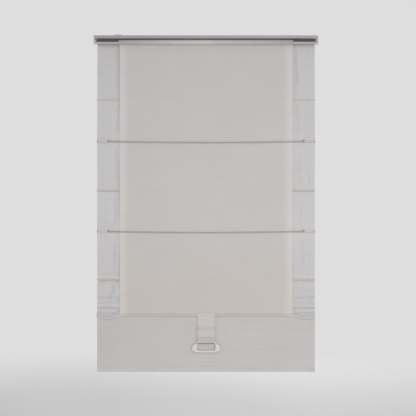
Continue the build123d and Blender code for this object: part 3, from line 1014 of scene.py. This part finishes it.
sleeveColumns = spaced(sleeve["inner"], sleeve["outer"], 2)
for letter, rod in guideRods.items():
    rows, tabs = [], []
    for side, title in ((-1, "left"), (1, "right")):
        tab = clothMesh(
            "rod_sleeve_%s_%s" % (letter, title),
            sorted(side * x for x in sleeveColumns),
            sleevePath(rod.y, rod.z),
            even(sleeve["wall"]),
            "sleeve_cloth",
            seamShadeAt=mouthShade,
        )
        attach(tab, "rod_" + letter)
        tabs.append(tab)
        inner, outer = side * (sleeve["inner"] + 9), side * (sleeve["outer"] - 2)
        y = sleeveBack - 1.25
        top = rod.z + sleeve["height"] - 2
        for z in (top, rod.z + 10.2):
            rows.append([(x, y, z) for x in spaced(inner, outer, 4)])
        for x in (inner, outer):
            rows.append([(x, y, z) for z in spaced(top, rod.z + 10.2, 2)])
    thread = sew("sleeve_stitches_" + letter, rows, "sleeve_cloth")
    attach(thread, "rod_" + letter)
    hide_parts("guide_sleeves_" + letter)
print("pockets and sleeves made")


# Lift sheet: its turns on the roller, the hanging sheet and its hem

sheet = {
    "thick": 0.35,
    "rollR": 11.4,
    "turnThick": 0.32,
    "turns": 2.0,
    "turnPitch": 0.38,
    "turnR": 10.8,  # the middle of the turns
    "turnShade": 0.3,  # how much painted shade, in the seam tone, the roll takes
    "back": 11.1,
    "easeOver": 150,  # the drop in which the sheet comes forward from the roll to its place
    "curlWidth": 7,
    "curlDepth": 2.1,
    "curlBelow": 14,
    "hem": 12.6,
    "hemThick": 1.2,
    "hemSwell": 0.9,
    "press": 0.35,  # how far the rod pockets behind it press it forward
    "pressHeight": 9,
    "wave": 0.28,
    "calmOver": 80,  # how far from its two ends they come up
    "keep": 0.191,
}
sheetHalf = high("lift_sheet").x


def stored(tree, geometry, name, value, kind="FLOAT", domain="POINT"):
    values = {"Geometry": geometry, "Name": name, "Value": value}
    return grow(tree, "StoreNamedAttribute", values, {"data_type": kind, "domain": domain})


def spiralTree(material):
    tree, given = startTree("sheet_turns", turnSizes)
    spiral = {
        "Resolution": 72,
        "Rotations": given["Turns"],
        "Start Radius": given["Inner Radius"],
        "End Radius": given["Outer Radius"],
        "Height": 0.0,
    }
    along = addNode(tree, "GeometryNodeSplineParameter", out="Length")
    marked = stored(tree, grow(tree, "CurveSpiral", spiral), "along", along)
    line = grow(tree, "CurveToMesh", {"Curve": marked})
    width = spot(tree, Z=given["Width"])
    drawn = {"Mesh": line, "Offset": width, "Offset Scale": 1.0}
    wide = grow(tree, "ExtrudeMesh", drawn, {"mode": "EDGES"})
    wall = {"Mesh": wide, "Offset Scale": given["Thickness"], "Individual": False}
    thick = grow(tree, "ExtrudeMesh", wall, {"mode": "FACES"})
    under = grow(tree, "FlipFaces", {"Mesh": wide})
    both = tree.nodes.new("GeometryNodeJoinGeometry")
    tree.links.new(thick, both.inputs[0])
    tree.links.new(under, both.inputs[0])
    closed = grow(tree, "MergeByDistance", {"Geometry": both.outputs[0], "Distance": 1e-5})
    across = addNode(
        tree, "ShaderNodeSeparateXYZ", {}, {0: grow(tree, "InputPosition", {})}, "Z"
    )
    run = grow(tree, "InputNamedAttribute", {"Name": "along"}, {"data_type": "FLOAT"})
    flat = spot(tree, X=across, Y=run)
    mapped = stored(tree, closed, "cloth", flat, "FLOAT2", "CORNER")
    # The spiral's own X goes to +Y and its Y to -Z, so that the outer end leaves downwards.
    place = {
        "Geometry": stored(tree, mapped, "seam", sheet["turnShade"]),
        "Translation": (sheetHalf * mm, 0.0, roller.z * mm),
        "Rotation": Matrix(((0, 0, -1), (1, 0, 0), (0, -1, 0))).to_euler(),
    }
    endTree(tree, grow(tree, "Transform", place), material)
    return tree


sheetMiddle = sheet["back"] - sheet["thick"] / 2
hemTop = pocketTop + 0.3
outerR = sheet["rollR"] - sheet["turnThick"]
innerR = outerR - sheet["turns"] * sheet["turnPitch"]
turnSizes = {
    "Turns": sheet["turns"],
    "Inner Radius": innerR * mm,
    "Outer Radius": outerR * mm,
    "Width": 2 * sheetHalf * mm,
    "Thickness": sheet["turnThick"] * mm,
}
turnsPiece = grown(
    "lift_sheet_turns",
    bpy.data.meshes.new("turns_start"),
    spiralTree(materials["lift_sheet_cloth"]),
    turnSizes,
    "lift_sheet_cloth",
)
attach(turnsPiece, "roller")


def sheetColumns():
    flat = sheetHalf - sheet["curlWidth"]
    fine = flat - 24  # the mesh is finer from here out
    side = joined(spaced(-sheetHalf, -flat, 1), spaced(-flat, -fine, 4))
    return bothSides(side, spaced(-fine, fine, fabric["cell"]))


def sheetPath(x):
    # Flat, with its edges curled back, pressed a little forward by the pockets behind it.
    curl = max(0.0, abs(x) - (sheetHalf - sheet["curlWidth"])) / sheet["curlWidth"]
    path = []
    for z in spaced(roller.z, hemTop, fabric["row"] * 0.8):
        drop = roller.z - z
        ease = 1 - smooth(drop / sheet["easeOver"])
        y = sheetMiddle + (sheet["rollR"] - sheet["back"]) * ease
        y += smooth((drop - 4) / sheet["curlBelow"]) * sheet["curlDepth"] * curl ** 2
        press = sum(hump((z - rod.z) / sheet["pressHeight"]) for rod in loopRods.values())
        free = smooth(drop / sheet["calmOver"]) * smooth((z - hemTop) / sheet["calmOver"])
        wave = sheet["wave"] * math.sin(x / 74 + 0.4) * math.sin(drop / 130)
        path.append((y - (press * sheet["press"] - wave) * free, z))
    return path


hanging = clothMesh(
    "lift_sheet_hanging", sheetColumns(), sheetPath, even(sheet["thick"]), "lift_sheet_cloth"
)
sheetDrop = roller.z - pocketTop
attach(hanging, "root")
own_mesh(hanging)
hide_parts("lift_sheet")


def hemPath(x):
    # The sheet's end is turned up twice to the front and sewn.
    y = sheetMiddle - 0.15 + sheet["hemThick"] / 2
    top, bottom = hemTop, hemTop - sheet["hem"]
    half = sheet["hemThick"] / 2 - 0.2
    path = []
    for z in spaced(top, bottom + 0.6, 0.9):
        swell = math.sin(math.pi * (top - z) / sheet["hem"]) ** 0.6
        path.append((y - half - sheet["hemSwell"] * swell, z))
    path += arc(y - 0.3, bottom + 0.6, half + 0.3, 180, 360, 30)[1:]
    return path + upright(y + half, bottom + 1.6, top - 0.2, 1.6)


hem = clothMesh(
    "lift_sheet_hem",
    spaced(-sheetHalf, sheetHalf, 10),
    hemPath,
    even(0.4),
    "lift_sheet_cloth",
    start=sheetDrop,
)
hemRows = [
    acrossRow(sheetMiddle - 0.6 - swell, hemTop - drop, sheetHalf - 2)
    for drop, swell in ((2.6, 0.55), (10.6, 0.5))
]
hemThread = sew("lift_sheet_hem_stitches", hemRows, "lift_sheet_cloth")
for obj in (hem, hemThread):
    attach(obj, "bottom")
print("lift sheet made")


# Bottom panel: one cloth, folded over the lift bar above and round the weight bar below

panel = {
    "thick": 0.7,
    "flange": 6,
    "wrap": 11.8,  # how far it goes down over the lift bar
    "bend": 1.4,
    "weightHalf": 1.9,  # half its depth round the weight bar
    "hemRise": 4.5,
    "hemShare": 0.375,
    "ripple": 0.5,
}


def panelPath(x):
    y = liftBar.y
    thick, bend = panel["thick"], panel["bend"]
    barFront, barBack = low("bottom_panel").y + thick / 2, high("bottom_panel").y - thick / 2
    top, under = pocketTop - thick / 2, pocketTop - panel["wrap"]
    weightHalf = panel["weightHalf"] - thick / 2
    wave = panel["ripple"] * math.sin(x / 88 + 1.1)
    flatBack = y + thick + 0.08
    path = upright(flatBack, under - panel["flange"], under - 0.6, 2)
    path += [(barBack - 0.9, under + 0.5), (barBack, under + 2)]
    path += upright(barBack, under + 3.2, top - 1.6, 2)
    path += arc(barBack - bend, top - bend, bend, 20, 90, 17)
    path += arc(barFront + bend, top - bend, bend, 90, 160, 17)
    path += upright(barFront, top - 1.8, under + 2.6, 2)
    path += [(barFront + 0.5, under + 1), (y - 0.35, under - 0.3)]
    foldTop = weightBar.z + 11
    for z in spaced(under - 1.4, foldTop + 1.6, fabric["row"]):
        free = math.sin(math.pi * (under - z) / (under - foldTop)) ** 2
        path.append((y + free * wave, z))
    path += [(y - weightHalf * 0.55, foldTop - 0.4), (y - weightHalf, foldTop - 2.6)]
    path += upright(y - weightHalf, foldTop - 4.4, bottomEnd + 2.4, 2.4)
    path += arc(y, bottomEnd + thick / 2 + weightHalf, weightHalf, 180, 360, 20)
    path += upright(y + weightHalf, bottomEnd + 2.6, foldTop - 3, 2.4)
    path += [(y + weightHalf * 0.8, foldTop - 1), (flatBack, foldTop + 1)]
    return path + upright(flatBack, foldTop + 2, foldTop + panel["hemRise"], 1.4)


def panelHalves(x):
    return panel["thick"] / 2 + panel["hemShare"] * hemLift(x), panel["thick"] / 2


panelPiece = clothMesh("bottom_panel_cloth", columns, panelPath, panelHalves, "panel_cloth")
frontY, backY = liftBar.y - panel["thick"] / 2, liftBar.y + panel["thick"] * 1.5 + 0.1
panelRows = []
for y in (frontY, backY):
    for z in (pocketTop - 13.2, pocketTop - 16.2):
        panelRows.append(acrossRow(y, z, halfWidth - 3))
    panelRows.append(acrossRow(y, weightBar.z + 13.4, halfWidth - 3))
for x in (-hemX, hemX):
    for y in (frontY - 0.3, liftBar.y + panel["thick"] / 2):
        rows = spaced(pocketTop - 19, weightBar.z + 15, 12)
        panelRows.append([(x, y, z) for z in rows])
panelThread = sew("bottom_panel_stitches", panelRows, "panel_cloth")
for obj in (panelPiece, panelThread):
    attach(obj, "bottom")
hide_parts("bottom_panel")
pathLength(panelPath(0)) * mm
print("bottom panel made")


# Strap: a doubled ribbon from the lift bar down to the handle's bar

grip = {  # the handle's bar, the half widths of its slot, bar and base, and half its depth
    "y": 6.8,
    "z": -1407,
    "r": 6.2,
    "slotHalf": 40.5,
    "barHalf": 41,
    "baseHalf": 42,
    "depthHalf": 3.5,
    "base": 11,  # how high its lower bar is
}
strap = {
    "halfWidth": 40,
    "layer": 0.8,
    "apart": 0.92,
    "topY": 9.5,
    "wave": 1.3,
    "wavePitch": 42,
    "ends": 10.5,  # how far above the bar's middle the two layers part
    "row": 2.5,
}
strapTop = high("strap").z
strapRun = spaced(strapTop - 0.4, grip["z"] + strap["ends"], strap["row"])


def strapPath(x):
    half = strap["apart"] / 2
    front, back = [], []
    tilt = 0.25 * math.sin(x / 26)
    for z in strapRun:
        t = (strapTop - z) / (strapTop - strapRun[-1])
        y = strap["topY"] + (grip["y"] - strap["topY"]) * smooth(t)
        wave = strap["wave"] * math.sin((strapTop - z) / strap["wavePitch"] * 2 * math.pi)
        y += smooth(t * 5) * smooth((1 - t) * 4) * (wave + tilt)
        front.append((y - half, z))
        back.append((y + half, z))
    loopR = grip["r"] + 0.4 + strap["layer"] / 2
    ring = arc(grip["y"], grip["z"], loopR, 115, 425, 15)
    neck, neckBack = ((grip["y"] + y, grip["z"] + 8.3) for y in (-1.3, 1.3))
    return front + [neck] + ring + [neckBack] + back[::-1]


def loopShade(x):  # the loop's underside takes the brown of the shade beneath the bar
    return [
        hump((z - grip["z"] + grip["r"] - 0.9) / 3.0) * (y < grip["y"] + 1)
        for y, z in strapPath(x)
    ]


strapPiece = clothMesh(
    "pull_strap",
    spaced(-strap["halfWidth"], strap["halfWidth"], 4),
    strapPath,
    even(strap["layer"]),
    "strap_cloth",
    seamShadeAt=loopShade,
)
strapRows = []
frontPath = strapPath(0)[: len(strapRun)]


def strapFront(z):
    for (y1, z1), (y2, z2) in zip(frontPath, frontPath[1:]):
        if z1 >= z >= z2:
            return y1 + (y2 - y1) * (z1 - z) / (z1 - z2) - strap["layer"] / 2
    return frontPath[-1][0] - strap["layer"] / 2


edge = strap["halfWidth"] - 2.2
sewnTop, sewnLow = strapTop - 2, grip["z"] + 12.5
for z in (sewnTop, strapTop - 11.5, sewnLow):
    strapRows.append([(x, strapFront(z), z) for x in spaced(-edge, edge, 4)])
for x in (-edge, edge):
    rows = [(x, strapFront(z), z) for z in spaced(sewnTop, sewnLow, strap["row"])]
    strapRows.append(rows)
    strapRows.append([(x, y + strap["apart"] + strap["layer"], z) for x, y, z in rows])
strapThread = sew("pull_strap_stitches", strapRows, "strap_cloth")
for obj in (strapPiece, strapThread):
    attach(obj, "bottom")
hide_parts("strap")
pathLength(strapPath(0)) * mm


# Pull handle: a moulded ring with a round bar above and rounded ears at the sides


def curved(points, count):
    # A smooth line through the points, evenly spaced.
    found = []
    padded = [points[0]] + points + [points[-1]]
    for quad in zip(padded, padded[1:], padded[2:], padded[3:]):
        for i in range(12):
            t = i / 12
            found.append([
                0.5 * (2 * b + (c - a) * t + (2 * a - 5 * b + 4 * c - d) * t * t
                       + (3 * b - a - 3 * c + d) * t ** 3)
                for a, b, c, d in zip(*quad)
            ])
    return resampled(found + [points[-1]], count)


def handleMesh():
    barTop, slotTop = grip["z"] + grip["r"], grip["z"] - grip["r"]
    base = low("pull_handle").z
    slotLow = base + grip["base"]
    slotHalf, barHalf, baseHalf = grip["slotHalf"], grip["barHalf"], grip["baseHalf"]
    barCount, sideCount = 21, 17  # points along each bar and each side
    ear = [
        (barHalf, barTop), (44, barTop - 4), (48, barTop - 10), (54, barTop - 15),
        (60.5, barTop - 21), (65.6, barTop - 29), (67, barTop - 37), (64.4, barTop - 45),
        (57, barTop - 50.6), (baseHalf, base),
    ]
    slotSide = [
        (slotHalf - 2.5, slotTop), (slotHalf - 0.4, slotTop - 1), (slotHalf, slotTop - 4),
        (slotHalf, (slotTop + slotLow) / 2), (slotHalf, slotLow + 6),
        (slotHalf - 1.6, slotLow + 1.6), (slotHalf - 6, slotLow),
    ]
    right = list(zip(curved(ear, sideCount), curved(slotSide, sideCount)))
    left = [([-o[0], o[1]], [-i[0], i[1]]) for o, i in reversed(right)]
    top = list(zip(
        resampled([(-barHalf, barTop), (barHalf, barTop)], barCount),
        resampled([(-slotHalf + 2.5, slotTop), (slotHalf - 2.5, slotTop)], barCount),
    ))
    lower = list(zip(
        resampled([(baseHalf, base), (-baseHalf, base)], barCount),
        resampled([(slotHalf - 6, slotLow), (-slotHalf + 6, slotLow)], barCount),
    ))
    ring = top[:-1] + right[:-1] + lower[:-1] + left[:-1]
    sides, points = 20, []
    for n, (outer, inner) in enumerate(ring):
        isBar = n < barCount - 1
        centreX, centreZ = (outer[0] + inner[0]) / 2, (outer[1] + inner[1]) / 2
        halfX, halfZ = (outer[0] - inner[0]) / 2, (outer[1] - inner[1]) / 2
        nearBar = 1 if isBar else 1 - smooth((barTop - centreZ - 5) / 9)
        depth = grip["depthHalf"] + (grip["r"] - grip["depthHalf"]) * nearBar
        power = 0.72 + 0.28 * nearBar
        for k in range(sides):
            a = 2 * math.pi * k / sides
            c, s = math.cos(a), math.sin(a)
            across = math.copysign(abs(c) ** power, c)
            forward = math.copysign(abs(s) ** power, s)
            points.append((
                (centreX + halfX * across) * mm,
                (grip["y"] + depth * forward) * mm,
                (centreZ + halfZ * across) * mm,
            ))
    faces = ringFaces(len(ring), sides, closed=True)
    return closedMesh("pull_handle_moulded", points, faces, sharp=False)


handle = newObject("pull_handle_moulded", handleMesh(), "handle_plastic")
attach(handle, "handle")
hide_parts("pull_handle")
print("strap and handle made")


# Hook tape on the rail

hookTape = {"thick": 1.15, "flat": 12}


def tapePath(x):
    lowest, highest = low("hook_tape"), high("hook_tape")
    return upright((lowest.y + highest.y) / 2, highest.z, lowest.z, 1)


tape = clothMesh(
    "hook_tape_strip",
    spaced(-halfWidth, halfWidth, 20),
    tapePath,
    even(hookTape["thick"]),
    "hook_tape_cloth",
)
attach(tape, "root")
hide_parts("hook_tape")


# Finishes on the parts that keep the frame's own shape

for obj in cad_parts.values():
    for held in obj.material_slots:
        title = held.material.name.split(".")[0] if held.material else ""
        if title in materials:
            held.material = materials[title]
print("finishes given")


# Floor, light and camera, in metres

stage = {"floorZ": -1.85, "radius": 2.9, "fadeFrom": 1.2, "tone": (222, 222, 222), "ambient": 0.4}


def floorMaterial():
    base, shader = startMaterial(
        "studio_floor",
        {"Base Color": colour(*stage["tone"]), "Roughness": 0.9, "Specular IOR Level": 0.1},
    )
    distance = base.node("VectorMath", {"operation": "LENGTH"}, {0: onObject(base)}, out=1)
    fade = distance.step(stage["fadeFrom"], stage["radius"] * 0.97)
    clear = base.node("BsdfTransparent")
    mixed = base.node("MixShader", values={0: fade, 1: shader.outputs[0], 2: clear})
    putValue(base.tree.nodes["Material Output"].inputs["Surface"], mixed, base.tree)
    return materials["studio_floor"]


def floorMesh():
    mesh = bpy.data.meshes.new("studio_floor")
    disc = bmesh.new()
    bmesh.ops.create_circle(disc, cap_ends=True, segments=96, radius=stage["radius"])
    disc.to_mesh(mesh)
    disc.free()
    mesh.materials.append(floorMaterial())
    return mesh


floor = bpy.data.objects.new("studio_floor", floorMesh())
floor.location.z = stage["floorZ"]
bpy.context.scene.collection.objects.link(floor)

world = bpy.data.worlds.new("studio")
bpy.context.scene.world = world
world.use_nodes = True
worldTree = world.node_tree
sky = worldTree.nodes["Background"]
lightPath = worldTree.nodes.new("ShaderNodeLightPath")
seen = Shade(worldTree, lightPath.outputs["Is Camera Ray"])
seen = seen.math("MAXIMUM", seen, lightPath.outputs["Is Glossy Ray"])
seen = seen.math("MAXIMUM", seen, lightPath.outputs["Is Transmission Ray"])
putValue(sky.inputs["Color"], seen.mix((1.0, 1.0, 1.0, 1.0), colour(*stage["tone"])), worldTree)
putValue(sky.inputs["Strength"], seen * (1 - stage["ambient"]) + stage["ambient"], worldTree)

lamps = [  # name, place, target, width in metres and power in watts
    ("key", (1.2, -5.6, 1.6), (0, 0, -0.95), 2.4, 64),
    ("fill", (0.3, -3.0, -1.3), (0, 0, -1.1), 0.9, 39),
    ("back", (0.6, 3.0, 0.6), (0, 0, -0.7), 2.4, 72),
]
for name, place, target, size, power in lamps:
    light = bpy.data.lights.new(name, "AREA")
    light.shape = "SQUARE"
    light.size = size
    light.energy = power
    lamp = bpy.data.objects.new(name, light)
    lamp.location = place
    lamp.visible_camera = False
    lamp.rotation_euler = (Vector(target) - Vector(place)).to_track_quat("-Z", "Y").to_euler()
    bpy.context.scene.collection.objects.link(lamp)

shot = {"lens": 77.5, "sensor": 36, "place": (0.00915, -4.1, -0.7918)}
cameraData = bpy.data.cameras.new("camera")
cameraData.lens = shot["lens"]
cameraData.sensor_width = shot["sensor"]
camera = bpy.data.objects.new("camera", cameraData)
camera.location = shot["place"]
camera.rotation_euler = (math.radians(90), 0, 0)
bpy.context.scene.collection.objects.link(camera)
bpy.context.scene.camera = camera
bpy.context.scene.view_settings.view_transform = "Standard"
